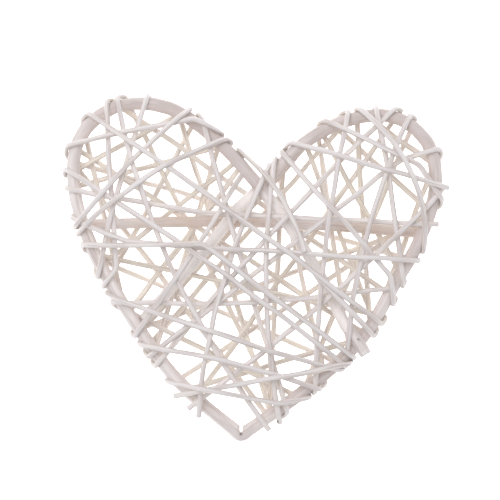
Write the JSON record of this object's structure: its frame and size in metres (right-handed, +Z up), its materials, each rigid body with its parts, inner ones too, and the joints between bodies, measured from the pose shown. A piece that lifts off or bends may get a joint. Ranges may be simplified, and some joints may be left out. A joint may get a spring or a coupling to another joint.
{
  "type": "rattan heart decoration",
  "caption": "Heart of bent rattan cane wound criss-cross with thin whitewashed rattan strands round a cross bar, lying on its back.",
  "frame": {"origin": "middle of the bounding box on the ground plane, below the back strands the heart lies on", "axes": "+X across the heart to the right lobe seen from the front, +Y from the tip towards the lobes, +Z up out of the front"},
  "size_m": [0.2022, 0.1816, 0.0476],
  "materials": {
    "frame_rattan": "matte",
    "bar_rattan": "matte",
    "strand_rattan": "matte"
  },
  "bodies": {
    "root": {"frame_cane": "frame_rattan", "cross_bar": "bar_rattan", "winding_strand_1": "strand_rattan", "winding_strand_2": "strand_rattan", "winding_strand_3": "strand_rattan", "winding_strand_4": "strand_rattan", "winding_strand_5": "strand_rattan", "winding_strand_6": "strand_rattan", "winding_strand_7": "strand_rattan", "winding_strand_8": "strand_rattan", "winding_strand_9": "strand_rattan", "winding_strand_10": "strand_rattan", "winding_strand_11": "strand_rattan", "winding_strand_12": "strand_rattan", "winding_strand_13": "strand_rattan", "winding_strand_14": "strand_rattan", "winding_strand_15": "strand_rattan", "winding_strand_16": "strand_rattan", "winding_strand_17": "strand_rattan", "winding_strand_18": "strand_rattan", "winding_strand_19": "strand_rattan", "winding_strand_20": "strand_rattan", "winding_strand_21": "strand_rattan", "winding_strand_22": "strand_rattan", "winding_strand_23": "strand_rattan", "winding_strand_24": "strand_rattan", "winding_strand_25": "strand_rattan", "winding_strand_26": "strand_rattan", "winding_strand_27": "strand_rattan", "winding_strand_28": "strand_rattan", "winding_strand_29": "strand_rattan"}
  },
  "joints": []
}
